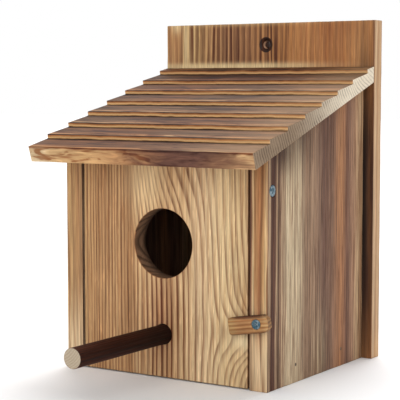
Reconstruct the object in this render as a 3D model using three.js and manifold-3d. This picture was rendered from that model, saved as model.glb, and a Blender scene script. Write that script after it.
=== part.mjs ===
// Wooden birdhouse: two side boards, a floor, a tall back board with a hanging hole, a stepped
// roof board, and a front that swings up on two screws and is held shut by a wooden turn button.
// Millimetres, +Z up, the front faces -Y, and the origin is the bottom centre of the whole object.
import * as THREE from 'three';
import { mergeVertices } from 'three/addons/utils/BufferGeometryUtils.js';
import Module from 'manifold-3d';

const wasm = await Module();
wasm.setup();

// ---- Gaps -----------------------------------------------------------------------------------
const SEAT_GAP = 0.3; // between two pieces that are nailed, screwed or glued together
const DOOR_SIDE_GAP = 1.3; // each side of the door
const DOOR_BOTTOM_GAP = 0.8; // under the door, so that it clears the ground
const DOOR_TOP_GAP = 2.8; // over the door, so that its top edge clears the roof as it swings
const DOOR_STOP_GAP = 0.4; // between the door's back and the floor board that stops it

// ---- Body -----------------------------------------------------------------------------------
const BODY_WIDTH = 150; // over the outer faces of the side boards
const SIDE_DEPTH = 125.2; // front edge to rear edge of a side board
const SIDE_FRONT_HEIGHT = 142; // height of a side board at its front edge
const SIDE_THICKNESS = 12.5;
const FLOOR_THICKNESS = 12.5;
const FLOOR_RAISE = 5; // the floor sits above the bottom edges, which keeps it dry
const BACK_THICKNESS = 11;
const SIDE_OVERHANG = 7.25; // roof and back board past each side board
const FLANGE_HEIGHT = 30.3; // back board above the roof
const HANG_HOLE_BELOW_TOP = 14.8;
const HANG_HOLE_DIAMETER = 5.8;
const HANG_HOLE_MOUTH = 10; // countersunk mouth of the hanging hole

// ---- Roof -----------------------------------------------------------------------------------
const ROOF_PITCH = THREE.MathUtils.degToRad(18.2);
const ROOF_THICKNESS = 11.3; // at the crest of a step
const EAVE = 27.4; // underside of the roof, measured down the slope past the front
const LIP_HEIGHT = 10.4; // front edge of the roof board
const FIRST_TREAD = 20.1; // front lip to the first riser
const STEP_PITCH = 22.1; // riser to riser
const STEP_HEIGHT = 2.7;
const LAST_TREAD_MIN = 4; // no riser nearer to the back board than this

// ---- Door, perch and turn button ------------------------------------------------------------
const DOOR_THICKNESS = 12.5;
const DOOR_RECESS = 0.5; // door's face behind the front edges of the side boards
const ENTRANCE_DIAMETER = 43.4;
const ENTRANCE_DROP = 57.6; // below the front top corner of a side board
const PIVOT_DROP = 22.2; // door's pivot below the same corner
const PIVOT_SETBACK = 6.1; // behind the front edges of the side boards
const PERCH_DIAMETER = 12.4;
const PERCH_HEIGHT = 27.8;
const PERCH_REACH = 90; // in front of the front edges of the side boards
const PERCH_CHAMFER = 0.5;
const BUTTON_HEIGHT = 41.3; // its screw above the ground
const BUTTON_INSET = 5.2; // its screw from the outer face of the side board
const BUTTON_REACH = 19.2; // screw to the free end
const BUTTON_TAIL = 8.5; // screw to the point behind it
const BUTTON_POINT = 3.3; // length of the pointed end
const BUTTON_WIDTH = 10.7;
const BUTTON_THICKNESS = 4.5;
const BUTTON_CORNER = 2;
const BUTTON_TILT = THREE.MathUtils.degToRad(9.4); // free end below level

// ---- Fasteners ------------------------------------------------------------------------------
const PIVOT_SCREW = { head: 7, shank: 3.5, length: 35, tip: 6 };
const BACK_SCREW = { head: 7, shank: 3.5, length: 35, tip: 6 };
const BUTTON_SCREW = { head: 6, shank: 3, length: 20, tip: 5 };
const BRAD = { head: 2.2, shank: 1.5, length: 25, tip: 2 };
const SCREW_RIM = 0.3; // straight rim of a countersunk head
const BRAD_HEAD_THICKNESS = 0.6;
const HEAD_SINK = 0.2; // head below the wood's surface
const MOUTH_MARGIN = 0.4; // countersink wider than its head, over and above rim and sink
const CROSS_SPAN = 0.62; // cross recess, as a share of the head's diameter
const CROSS_WIDTH = 0.17;
const CROSS_DEPTH = 1.2;
const CUTTER_OVERSHOOT = 2; // a cutter stands this far out of the wood
const BACK_SCREW_LOW = 28; // lowest screw into a side board
const BACK_SCREW_TOP_INSET = 38; // highest one, below the rear top corner of the side board
const BACK_SCREWS_PER_SIDE = 3;
const FLOOR_SCREW_SPACING = 60;
const FLOOR_BRAD_FRONT = 35; // behind the front edge of the side board
const FLOOR_BRAD_REAR = 30; // in front of its rear edge
const ROOF_BRADS_PER_SIDE = 3;

// ---- Facets ---------------------------------------------------------------------------------
const HOLE_FACETS = 48;
const DOWEL_FACETS = 40;
const SCREW_FACETS = 20;
const BRAD_FACETS = 12;
const CORNER_FACETS = 4;

// ---- Values worked out from the above ----------------------------------------------------------
const sin = Math.sin(ROOF_PITCH);
const cos = Math.cos(ROOF_PITCH);
const tan = Math.tan(ROOF_PITCH);
const innerHalf = BODY_WIDTH / 2 - SIDE_THICKNESS;
const sideCentre = BODY_WIDTH / 2 - SIDE_THICKNESS / 2;
const coverWidth = BODY_WIDTH + 2 * SIDE_OVERHANG; // roof board and back board
const sideRearHeight = SIDE_FRONT_HEIGHT + SIDE_DEPTH * tan;
const roofDatum = SIDE_FRONT_HEIGHT + SEAT_GAP; // underside of the roof above the front edges
const treadSlope = STEP_HEIGHT / STEP_PITCH; // fall of a tread against the board, going uphill
const rearAt = (v) => (SIDE_DEPTH + v * sin) / cos; // rear end of the roof, along the slope
const risers = [];
for (let u = FIRST_TREAD - EAVE; u < rearAt(ROOF_THICKNESS) - LAST_TREAD_MIN; u += STEP_PITCH) {
  risers.push(u);
}
const lastRiser = risers[risers.length - 1];
const rearRise = ROOF_THICKNESS - (SIDE_DEPTH / cos - lastRiser) * treadSlope;
const roofRearThickness = rearRise / (1 + tan * treadSlope);
const roofRearTop = roofDatum + rearAt(roofRearThickness) * sin + roofRearThickness * cos;
const backHeight = roofRearTop + FLANGE_HEIGHT;
const backFront = SIDE_DEPTH + SEAT_GAP;
const backRear = backFront + BACK_THICKNESS;
const pivotHeight = SIDE_FRONT_HEIGHT - PIVOT_DROP;
const doorTop = roofDatum - DOOR_TOP_GAP;
const doorHalf = innerHalf - DOOR_SIDE_GAP;
const doorBack = DOOR_RECESS + DOOR_THICKNESS;
const floorFront = doorBack + DOOR_STOP_GAP;
const floorMiddle = FLOOR_RAISE + FLOOR_THICKNESS / 2;

// ---- Helpers --------------------------------------------------------------------------------
const turnedFromXY = new THREE.Matrix4().makeBasis(
  new THREE.Vector3(0, 1, 0),
  new THREE.Vector3(0, 0, 1),
  new THREE.Vector3(1, 0, 0),
); // takes a profile drawn as (y, z), extruded along x, to its place

/** A closed solid from a closed geometry, placed by a matrix. */
function toSolid(geometry, placement = new THREE.Matrix4()) {
  const bare = geometry.clone();
  bare.deleteAttribute('normal');
  bare.deleteAttribute('uv');
  bare.applyMatrix4(placement);
  const merged = mergeVertices(bare);
  const corners = merged.index.array;
  const triangles = [];
  for (let i = 0; i < corners.length; i += 3) {
    const [a, b, c] = corners.slice(i, i + 3);
    const hasArea = a !== b && b !== c && c !== a;
    if (hasArea) triangles.push(a, b, c);
  }
  const vertProperties = Float32Array.from(merged.attributes.position.array);
  const triVerts = Uint32Array.from(triangles);
  return new wasm.Manifold(new wasm.Mesh({ numProp: 3, vertProperties, triVerts }));
}

/** The surface of a solid as a geometry. */
function toGeometry(solid) {
  const { vertProperties, triVerts } = solid.getMesh();
  const geometry = new THREE.BufferGeometry();
  geometry.setAttribute('position', new THREE.BufferAttribute(vertProperties, 3));
  geometry.setIndex(new THREE.BufferAttribute(triVerts, 1));
  geometry.computeVertexNormals();
  return geometry;
}

/** A geometry with others cut out of it. */
function cut(geometry, cutters) {
  let solid = toSolid(geometry);
  for (const cutter of cutters) solid = solid.subtract(toSolid(cutter));
  return toGeometry(solid);
}

/** Takes the seat of every fastener that reaches into a piece out of that piece. */
function carve(mesh, fasteners) {
  mesh.updateWorldMatrix(true, false);
  const intoMesh = mesh.matrixWorld.clone().invert();
  let solid = toSolid(mesh.geometry);
  for (const fastener of fasteners) {
    fastener.updateWorldMatrix(true, false);
    const placement = intoMesh.clone().multiply(fastener.matrixWorld);
    solid = solid.subtract(toSolid(fastener.userData.seat, placement));
  }
  mesh.geometry = toGeometry(solid);
}

/** A named mesh with a material of its own, added to a parent. */
function addPiece(parent, name, geometry, { color, roughness, metalness }) {
  const mesh = new THREE.Mesh(geometry, new THREE.MeshStandardMaterial({ color, roughness, metalness }));
  mesh.name = name;
  parent.add(mesh);
  return mesh;
}

/** A straight-sided shape through points given as [x, y] pairs. */
function outline(points) {
  return new THREE.Shape(points.map(([x, y]) => new THREE.Vector2(x, y)));
}

/** A round hole in a shape. */
function roundHole(x, y, diameter) {
  const hole = new THREE.Path();
  hole.absarc(x, y, diameter / 2, 0, 2 * Math.PI, true);
  return hole;
}

/** A board from a profile drawn as (y, z) and centred on x = 0. */
function boardAcross(profile, width) {
  const geometry = new THREE.ExtrudeGeometry(profile, { depth: width, bevelEnabled: false });
  return geometry.translate(0, 0, -width / 2).applyMatrix4(turnedFromXY);
}

/** A board from a face drawn as (x, z), from y = 0 back to y = thickness. */
function boardUpright(face, thickness, curveSegments = HOLE_FACETS / 2) {
  const settings = { depth: thickness, bevelEnabled: false, curveSegments };
  const geometry = new THREE.ExtrudeGeometry(face, settings);
  return geometry.rotateX(Math.PI / 2).translate(0, thickness, 0);
}

/** A solid of revolution about y, from [radius, y] points that run from low to high. */
function turned(points, facets) {
  return new THREE.LatheGeometry(points.map(([r, y]) => new THREE.Vector2(r, y)), facets);
}

/** A countersunk wood screw that drives along its own -y, its head's top at y = 0. */
function addScrew(parent, name, { head, shank, length, tip }) {
  const headRadius = head / 2;
  const shankRadius = shank / 2;
  const body = turned([
    [0, -length],
    [shankRadius, tip - length],
    [shankRadius, shankRadius - headRadius - SCREW_RIM],
    [headRadius, -SCREW_RIM],
    [headRadius, 0],
    [0, 0],
  ], SCREW_FACETS);
  const armLength = head * CROSS_SPAN;
  const armWidth = head * CROSS_WIDTH;
  const arms = [
    new THREE.BoxGeometry(armLength, 2 * CROSS_DEPTH, armWidth),
    new THREE.BoxGeometry(armWidth, 2 * CROSS_DEPTH, armLength),
  ];
  const screw = addPiece(parent, name, cut(body, arms), ZINC);
  const mouth = headRadius + SCREW_RIM + HEAD_SINK + MOUTH_MARGIN;
  const bore = shankRadius + SEAT_GAP;
  screw.userData.seat = turned([
    [0, -length - (SEAT_GAP * tip) / shankRadius],
    [bore, tip - length],
    [bore, HEAD_SINK + bore - mouth],
    [mouth, HEAD_SINK],
    [mouth, CUTTER_OVERSHOOT],
    [0, CUTTER_OVERSHOOT],
  ], SCREW_FACETS);
  return screw;
}

/** A flat-headed brad that drives along its own -y, its head's top at y = 0. */
function addBrad(parent, name) {
  const { head, shank, length, tip } = BRAD;
  const shankRadius = shank / 2;
  const body = turned([
    [0, -length],
    [shankRadius, tip - length],
    [shankRadius, -BRAD_HEAD_THICKNESS],
    [head / 2, -BRAD_HEAD_THICKNESS],
    [head / 2, 0],
    [0, 0],
  ], BRAD_FACETS);
  const brad = addPiece(parent, name, toGeometry(toSolid(body)), ZINC);
  const bore = shankRadius + SEAT_GAP;
  const mouth = head / 2 + SEAT_GAP;
  brad.userData.seat = turned([
    [0, -length - (SEAT_GAP * tip) / shankRadius],
    [bore, tip - length],
    [bore, -BRAD_HEAD_THICKNESS - SEAT_GAP],
    [mouth, -BRAD_HEAD_THICKNESS - SEAT_GAP],
    [mouth, CUTTER_OVERSHOOT],
    [0, CUTTER_OVERSHOOT],
  ], BRAD_FACETS);
  return brad;
}

// ---- Finishes -------------------------------------------------------------------------------
const SCORCHED_FIR = { color: 0xa87c52, roughness: 0.75, metalness: 0 };
const PALE_FIR = { color: 0xc09a68, roughness: 0.75, metalness: 0 };
const BROWN_FIR = { color: 0x8f6b4c, roughness: 0.75, metalness: 0 };
const DARK_DOWEL = { color: 0x3b2419, roughness: 0.6, metalness: 0 };
const BUTTON_WOOD = { color: 0x9c6b40, roughness: 0.7, metalness: 0 };
const ZINC = { color: 0x8f9ba6, roughness: 0.35, metalness: 1 };

// ---- Assembly -------------------------------------------------------------------------------
const SIDES = [['left', -1], ['right', 1]];
const birdhouse = new THREE.Group();
birdhouse.position.y = (PERCH_REACH - backRear) / 2;
const boards = [];
const fasteners = [];

// Side boards, cut to the roof's pitch along the top.
for (const [side, sign] of SIDES) {
  const profile = outline([
    [0, 0],
    [SIDE_DEPTH, 0],
    [SIDE_DEPTH, sideRearHeight],
    [0, SIDE_FRONT_HEIGHT],
  ]);
  const board = addPiece(birdhouse, `${side}_side`, boardAcross(profile, SIDE_THICKNESS), BROWN_FIR);
  board.position.x = sign * sideCentre;
  boards.push(board);
}

// Floor board, between the side boards and behind the door.
const floorDepth = SIDE_DEPTH - floorFront;
const floorBlank = new THREE.BoxGeometry(2 * (innerHalf - SEAT_GAP), floorDepth, FLOOR_THICKNESS);
const floor = addPiece(birdhouse, 'floor_board', floorBlank, PALE_FIR);
floor.position.set(0, floorFront + floorDepth / 2, floorMiddle);
boards.push(floor);

// Back board, standing above the roof, with the countersunk hanging hole in its flange.
const hangHeight = backHeight - HANG_HOLE_BELOW_TOP;
const backFace = outline([
  [-coverWidth / 2, 0],
  [coverWidth / 2, 0],
  [coverWidth / 2, backHeight],
  [-coverWidth / 2, backHeight],
]);
backFace.holes.push(roundHole(0, hangHeight, HANG_HOLE_DIAMETER));
const hangMouth = turned([
  [0, (HANG_HOLE_DIAMETER - HANG_HOLE_MOUTH) / 2],
  [HANG_HOLE_DIAMETER / 2, (HANG_HOLE_DIAMETER - HANG_HOLE_MOUTH) / 2],
  [HANG_HOLE_MOUTH / 2 + CUTTER_OVERSHOOT, CUTTER_OVERSHOOT],
  [0, CUTTER_OVERSHOOT],
], HOLE_FACETS).rotateX(Math.PI).translate(0, 0, hangHeight);
const backBlank = cut(boardUpright(backFace, BACK_THICKNESS), [hangMouth]);
const back = addPiece(birdhouse, 'back_board', backBlank, SCORCHED_FIR);
back.position.y = backFront;
boards.push(back);

// Roof, drawn along the slope: u runs uphill from the front edges, v stands on the underside.
const roofFrame = new THREE.Group();
roofFrame.position.z = roofDatum;
roofFrame.rotation.x = ROOF_PITCH;
birdhouse.add(roofFrame);
const roofOutline = [
  [rearAt(roofRearThickness), roofRearThickness],
  [rearAt(0), 0],
  [-EAVE, 0],
  [-EAVE, LIP_HEIGHT],
];
for (const u of risers) {
  roofOutline.push([u - STEP_HEIGHT * treadSlope, ROOF_THICKNESS - STEP_HEIGHT]);
  roofOutline.push([u, ROOF_THICKNESS]);
}
const roofProfile = outline(roofOutline.reverse());
const roof = addPiece(roofFrame, 'roof_board', boardAcross(roofProfile, coverWidth), SCORCHED_FIR);
boards.push(roof);

// Brads through the middle of the first, middle and last full tread into each side board.
const fullTreads = risers.length - 1;
for (const [side, sign] of SIDES) {
  for (let i = 0; i < ROOF_BRADS_PER_SIDE; i += 1) {
    const tread = Math.round((i * (fullTreads - 1)) / (ROOF_BRADS_PER_SIDE - 1));
    const brad = addBrad(roofFrame, `roof_brad_${side}_${i + 1}`);
    const surface = ROOF_THICKNESS - STEP_HEIGHT / 2;
    brad.position.set(sign * sideCentre, risers[tread] + STEP_PITCH / 2, surface - HEAD_SINK);
    brad.rotation.x = Math.PI / 2;
    fasteners.push(brad);
  }
}

// Brads through each side board into the floor.
for (const [side, sign] of SIDES) {
  [FLOOR_BRAD_FRONT, SIDE_DEPTH - FLOOR_BRAD_REAR].forEach((y, i) => {
    const brad = addBrad(birdhouse, `floor_brad_${side}_${i + 1}`);
    brad.position.set(sign * (BODY_WIDTH / 2 - HEAD_SINK), y, floorMiddle);
    brad.rotation.z = -sign * Math.PI / 2;
    fasteners.push(brad);
  });
}

// Screws through the back board into the side boards and the floor.
const backScrewHigh = sideRearHeight - BACK_SCREW_TOP_INSET;
for (const [side, sign] of SIDES) {
  for (let i = 0; i < BACK_SCREWS_PER_SIDE; i += 1) {
    const share = i / (BACK_SCREWS_PER_SIDE - 1);
    const screw = addScrew(birdhouse, `back_screw_${side}_${i + 1}`, BACK_SCREW);
    const height = THREE.MathUtils.lerp(BACK_SCREW_LOW, backScrewHigh, share);
    screw.position.set(sign * sideCentre, backRear - HEAD_SINK, height);
    fasteners.push(screw);
  }
  const floorScrew = addScrew(birdhouse, `floor_screw_${side}`, BACK_SCREW);
  floorScrew.position.set((sign * FLOOR_SCREW_SPACING) / 2, backRear - HEAD_SINK, floorMiddle);
  fasteners.push(floorScrew);
}

// Door, its perch and the two screws that it swings on, about the pivot axis.
const doorFrame = new THREE.Group();
doorFrame.position.set(0, PIVOT_SETBACK, pivotHeight);
birdhouse.add(doorFrame);
const doorFace = outline([
  [-doorHalf, DOOR_BOTTOM_GAP - pivotHeight],
  [doorHalf, DOOR_BOTTOM_GAP - pivotHeight],
  [doorHalf, doorTop - pivotHeight],
  [-doorHalf, doorTop - pivotHeight],
]);
doorFace.holes.push(roundHole(0, PIVOT_DROP - ENTRANCE_DROP, ENTRANCE_DIAMETER));
doorFace.holes.push(roundHole(0, PERCH_HEIGHT - pivotHeight, PERCH_DIAMETER + 2 * SEAT_GAP));
const door = addPiece(doorFrame, 'front_door', boardUpright(doorFace, DOOR_THICKNESS), PALE_FIR);
door.position.y = DOOR_RECESS - PIVOT_SETBACK;
boards.push(door);

const perchLength = PERCH_REACH + doorBack;
const perchRadius = PERCH_DIAMETER / 2;
const perchBlank = turned([
  [0, 0],
  [perchRadius, 0],
  [perchRadius, perchLength - PERCH_CHAMFER],
  [perchRadius - PERCH_CHAMFER, perchLength],
  [0, perchLength],
], DOWEL_FACETS);
const perch = addPiece(doorFrame, 'perch_dowel', toGeometry(toSolid(perchBlank)), DARK_DOWEL);
perch.position.set(0, doorBack - PIVOT_SETBACK, PERCH_HEIGHT - pivotHeight);
perch.rotation.z = Math.PI;

for (const [side, sign] of SIDES) {
  const screw = addScrew(doorFrame, `pivot_screw_${side}`, PIVOT_SCREW);
  screw.position.x = sign * (BODY_WIDTH / 2 - HEAD_SINK);
  screw.rotation.z = -sign * Math.PI / 2;
  fasteners.push(screw);
}

// Turn button on the front edge of the right side board, and its screw.
const buttonFrame = new THREE.Group();
buttonFrame.position.set(BODY_WIDTH / 2 - BUTTON_INSET, -SEAT_GAP, BUTTON_HEIGHT);
birdhouse.add(buttonFrame);
const halfWidth = BUTTON_WIDTH / 2;
const buttonFace = new THREE.Shape();
buttonFace.moveTo(BUTTON_TAIL, 0);
buttonFace.lineTo(BUTTON_TAIL - BUTTON_POINT, halfWidth);
buttonFace.lineTo(BUTTON_CORNER - BUTTON_REACH, halfWidth);
buttonFace.absarc(
  BUTTON_CORNER - BUTTON_REACH, halfWidth - BUTTON_CORNER, BUTTON_CORNER, Math.PI / 2, Math.PI, false,
);
buttonFace.absarc(
  BUTTON_CORNER - BUTTON_REACH, BUTTON_CORNER - halfWidth, BUTTON_CORNER, Math.PI, 1.5 * Math.PI, false,
);
buttonFace.lineTo(BUTTON_TAIL - BUTTON_POINT, -halfWidth);
buttonFace.closePath();
const buttonBlank = boardUpright(buttonFace, BUTTON_THICKNESS, CORNER_FACETS);
const button = addPiece(buttonFrame, 'latch_button', buttonBlank, BUTTON_WOOD);
button.position.y = -BUTTON_THICKNESS;
button.rotation.y = -BUTTON_TILT;
boards.push(button);

const buttonScrew = addScrew(buttonFrame, 'latch_screw', BUTTON_SCREW);
buttonScrew.position.y = HEAD_SINK - BUTTON_THICKNESS;
buttonScrew.rotation.z = Math.PI;
fasteners.push(buttonScrew);

for (const board of boards) carve(board, fasteners);

export default birdhouse;
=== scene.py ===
"""Looks of a wooden nest box with a stepped roof, a swing-up front and a turn button.

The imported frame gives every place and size. Each sub-assembly is a class that shapes its pieces with
bmesh operators and dresses them in a procedural finish. Lengths in the classes are millimetres.
"""

from __future__ import annotations

import logging
import math
from dataclasses import dataclass, field
from enum import Enum

import bmesh
import bpy
from mathutils import Euler, Matrix, Quaternion, Vector, noise

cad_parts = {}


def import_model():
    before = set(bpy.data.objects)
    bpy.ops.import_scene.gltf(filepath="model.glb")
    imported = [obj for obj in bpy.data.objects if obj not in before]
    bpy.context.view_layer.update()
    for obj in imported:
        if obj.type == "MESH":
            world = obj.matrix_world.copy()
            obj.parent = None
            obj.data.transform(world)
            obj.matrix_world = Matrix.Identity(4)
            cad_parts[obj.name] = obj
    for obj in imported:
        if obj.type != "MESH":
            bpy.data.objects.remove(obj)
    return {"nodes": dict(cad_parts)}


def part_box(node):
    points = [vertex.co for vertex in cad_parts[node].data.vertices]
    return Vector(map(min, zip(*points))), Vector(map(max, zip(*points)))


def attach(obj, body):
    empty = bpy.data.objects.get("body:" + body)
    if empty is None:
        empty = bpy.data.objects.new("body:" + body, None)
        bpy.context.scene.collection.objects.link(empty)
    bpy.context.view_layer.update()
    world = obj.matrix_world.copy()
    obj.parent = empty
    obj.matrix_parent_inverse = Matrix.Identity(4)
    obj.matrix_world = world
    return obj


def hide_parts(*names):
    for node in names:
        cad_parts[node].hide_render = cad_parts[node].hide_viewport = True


LOG = logging.getLogger("nest_box")
MM = 0.001
LIGHT_LEVEL = (1.15, 1.18, 1.22)  # how bright a white board looks in the studio's light, by colour

Colour = tuple[float, float, float]
Stop = tuple[float, Colour]


def shade(red: int, green: int, blue: int) -> Colour:
    """A colour given as a painter would read it off a chart, 0 to 255, made linear.

    Args:
        red: Red share, 0 to 255.
        green: Green share, 0 to 255.
        blue: Blue share, 0 to 255.

    Returns:
        The linear colour.
    """
    return tuple(channel / level for channel, level in zip(tone(red, green, blue), LIGHT_LEVEL))


def tone(red: int, green: int, blue: int) -> Colour:
    """A stain that is laid over another colour, as the linear share of light it lets through.

    Args:
        red: Red share, 0 to 255.
        green: Green share, 0 to 255.
        blue: Blue share, 0 to 255.

    Returns:
        The shares.
    """

    def linear(share: int) -> float:
        """One channel made linear.

        Args:
            share: The channel, 0 to 255.

        Returns:
            The channel as a share of light.
        """
        value = share / 255
        return value / 12.92 if value <= 0.04045 else ((value + 0.055) / 1.055) ** 2.4

    return linear(red), linear(green), linear(blue)


def stops(*rows: tuple[float, int, int, int]) -> tuple[Stop, ...]:
    """The stops of a colour ramp.

    Args:
        rows: Each stop as (place, red, green, blue), its colour as shade() takes it.

    Returns:
        The stops with linear colours.
    """
    return tuple((at, shade(red, green, blue)) for at, red, green, blue in rows)


class Side(Enum):
    """The two sides of the box, seen from the front."""

    LEFT = -1
    RIGHT = 1

    @property
    def word(self) -> str:
        """The side's name.

        Returns:
            The name as the frame spells it.
        """
        return self.name.lower()


class Heading(Enum):
    """Ways that a fastener's head can look."""

    LEFT = (-1, 0, 0)
    RIGHT = (1, 0, 0)
    FRONT = (0, -1, 0)
    REAR = (0, 1, 0)

    @property
    def vector(self) -> Vector:
        """The heading's direction.

        Returns:
            A unit vector.
        """
        return Vector(self.value)


# ---- Node graphs ------------------------------------------------------------------------------


class Graph:
    """A material's node tree, with short calls for the nodes that the finishes use."""

    def __init__(self, name: str) -> None:
        """Starts a material with one shader.

        Args:
            name: Name of the material.
        """
        self.material = bpy.data.materials.new(name)
        self.material.use_nodes = True
        self.tree = self.material.node_tree
        self.tree.nodes.clear()
        self.shader = self.tree.nodes.new("ShaderNodeBsdfPrincipled")
        output = self.tree.nodes.new("ShaderNodeOutputMaterial")
        self.tree.links.new(self.shader.outputs[0], output.inputs["Surface"])
        self.place = self.tree.nodes.new("ShaderNodeTexCoord")

    def node(self, kind: str, *fed: object, **settings: object) -> bpy.types.Node:
        """Adds a node and feeds its inputs in order.

        Args:
            kind: The node's type.
            fed: A socket, a number or a vector for each input; None leaves one alone.
            settings: Properties of the node.

        Returns:
            The node.
        """
        made = self.tree.nodes.new(kind)
        for key, value in settings.items():
            setattr(made, key, value)
        for socket, value in zip(made.inputs, fed):
            self.feed(socket, value)
        return made

    def feed(self, socket: bpy.types.NodeSocket, value: object) -> None:
        """Links a socket, or sets it where the value is plain.

        Args:
            socket: The input to feed.
            value: A socket, a plain value, or None to leave it alone.
        """
        if isinstance(value, bpy.types.NodeSocket):
            self.tree.links.new(value, socket)
        elif value is not None:
            socket.default_value = value

    def sum(self, how: str, *terms: object) -> bpy.types.NodeSocket:
        """A Math node.

        Args:
            how: ADD, MULTIPLY, FRACT and the like.
            terms: Sockets or numbers.

        Returns:
            The result.
        """
        return self.node("ShaderNodeMath", *terms, operation=how).outputs[0]

    def times(self, one: object, other: object) -> bpy.types.NodeSocket:
        """Two values multiplied.

        Args:
            one: The first.
            other: The second.

        Returns:
            The product.
        """
        return self.sum("MULTIPLY", one, other)

    def plus(self, one: object, other: object) -> bpy.types.NodeSocket:
        """Two values added.

        Args:
            one: The first.
            other: The second.

        Returns:
            The total.
        """
        return self.sum("ADD", one, other)

    def less(self, one: object, other: object) -> bpy.types.NodeSocket:
        """One value less another.

        Args:
            one: The first.
            other: What is taken away.

        Returns:
            The difference.
        """
        return self.sum("SUBTRACT", one, other)

    def times_plus(self, one: object, factor: object, added: object) -> bpy.types.NodeSocket:
        """A value multiplied, then added to.

        Args:
            one: The value.
            factor: What it is multiplied by.
            added: What is added.

        Returns:
            The result.
        """
        return self.sum("MULTIPLY_ADD", one, factor, added)

    def stretch(self, where: object, per_mm: Vector | tuple[float, float, float]) -> bpy.types.NodeSocket:
        """A place scaled along each of its three axes.

        Args:
            where: The place.
            per_mm: The three scales.

        Returns:
            The scaled place.
        """
        return self.node("ShaderNodeVectorMath", where, tuple(per_mm), operation="MULTIPLY").outputs[0]

    def clouds(
        self, where: object, detail: float = 2, rough: float = 0.5, twist: float = 0
    ) -> bpy.types.NodeSocket:
        """Noise of 0 to 1 about a half, with features about one unit of the place across.

        Args:
            where: The place.
            detail: Octaves.
            rough: How much the finer octaves count.
            twist: Distortion.

        Returns:
            The noise.
        """
        made = self.node("ShaderNodeTexNoise", where)
        made.inputs["Scale"].default_value = 1
        made.inputs["Detail"].default_value = detail
        made.inputs["Roughness"].default_value = rough
        made.inputs["Distortion"].default_value = twist
        return made.outputs[0]

    def streaks(
        self,
        where: object,
        sizes: tuple[float, float, float],
        detail: float = 2,
        rough: float = 0.5,
        twist: float = 0,
    ) -> bpy.types.NodeSocket:
        """Noise drawn out to a different length along each axis.

        Args:
            where: The place, in millimetres.
            sizes: Length of its features along each axis, in millimetres.
            detail: Octaves.
            rough: How much the finer octaves count.
            twist: Distortion.

        Returns:
            The noise, 0 to 1 about a half.
        """
        return self.clouds(self.stretch(where, tuple(1 / size for size in sizes)), detail, rough, twist)

    def span(
        self, value: object, low: float, high: float, to_low: float = 0, to_high: float = 1
    ) -> bpy.types.NodeSocket:
        """A value eased from one range onto another and held at its ends.

        Args:
            value: The value.
            low: Where the first range starts.
            high: Where it ends.
            to_low: What its start becomes.
            to_high: What its end becomes.

        Returns:
            The eased value.
        """
        ends = (low, high, to_low, to_high)
        return self.node("ShaderNodeMapRange", value, *ends, interpolation_type="SMOOTHSTEP").outputs[0]

    def length(self, flat: object, deep: object) -> bpy.types.NodeSocket:
        """The length of a slanting line.

        Args:
            flat: How far it runs one way.
            deep: How far it runs square to that.

        Returns:
            Its length.
        """
        squares = self.sum("ADD", self.sum("MULTIPLY", flat, flat), self.sum("MULTIPLY", deep, deep))
        return self.sum("SQRT", squares)

    def bell(self, value: object, centre: float, reach: float, power: float = 2) -> bpy.types.NodeSocket:
        """One at the centre and near nothing two reaches away.

        Args:
            value: The value.
            centre: Where it peaks.
            reach: Half width.
            power: A higher power gives firmer edges.

        Returns:
            The height of the bell.
        """
        off = self.sum("ABSOLUTE", self.sum("DIVIDE", self.sum("SUBTRACT", value, centre), reach))
        return self.sum("EXPONENT", self.sum("MULTIPLY", self.sum("POWER", off, power), -1.0))

    def ramp(self, value: object, stops: tuple[Stop, ...]) -> bpy.types.NodeSocket:
        """A colour ramp.

        Args:
            value: The place along it, 0 to 1.
            stops: The stops, in order.

        Returns:
            The colour.
        """
        made = self.node("ShaderNodeValToRGB", value)
        elements = made.color_ramp.elements
        while len(elements) < len(stops):
            elements.new(1.0)
        for element, (at, _) in zip(elements, stops):
            element.position = at
        for element, (_, colour) in zip(elements, stops):
            element.color = (*colour, 1)
        return made.outputs[0]

    def profile(self, value: object, *stops: tuple[float, float]) -> bpy.types.NodeSocket:
        """A curve.

        Args:
            value: The place along it, 0 to 1.
            stops: Its points as (place, height).

        Returns:
            The height.
        """
        return self.ramp(value, tuple((at, (height,) * 3) for at, height in stops))

    def blend(self, how: str, share: object, under: object, over: object) -> bpy.types.NodeSocket:
        """One colour laid on another.

        Args:
            how: The blend type.
            share: How strongly, 0 to 1.
            under: The colour below.
            over: The colour above.

        Returns:
            The mix.
        """
        made = self.tree.nodes.new("ShaderNodeMix")
        made.data_type = "RGBA"
        made.blend_type = how
        made.clamp_factor = True
        self.feed(made.inputs[0], share)
        for socket, value in ((made.inputs[6], under), (made.inputs[7], over)):
            self.feed(socket, (*value, 1) if isinstance(value, tuple) else value)
        return made.outputs[2]

    def gain(self, colour: object, by: object) -> bpy.types.NodeSocket:
        """A colour made brighter or darker.

        Args:
            colour: The colour.
            by: The factor.

        Returns:
            The new colour.
        """
        made = self.node("ShaderNodeVectorMath", colour, operation="SCALE")
        self.feed(made.inputs["Scale"], by)
        return made.outputs[0]

    def facing(self, way: Vector) -> bpy.types.NodeSocket:
        """How squarely the surface faces a way.

        Args:
            way: The way, as a unit vector.

        Returns:
            The cosine, from -1 to 1.
        """
        normal = self.place.outputs["Normal"]
        made = self.node("ShaderNodeVectorMath", normal, tuple(way), operation="DOT_PRODUCT")
        return made.outputs["Value"]

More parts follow.
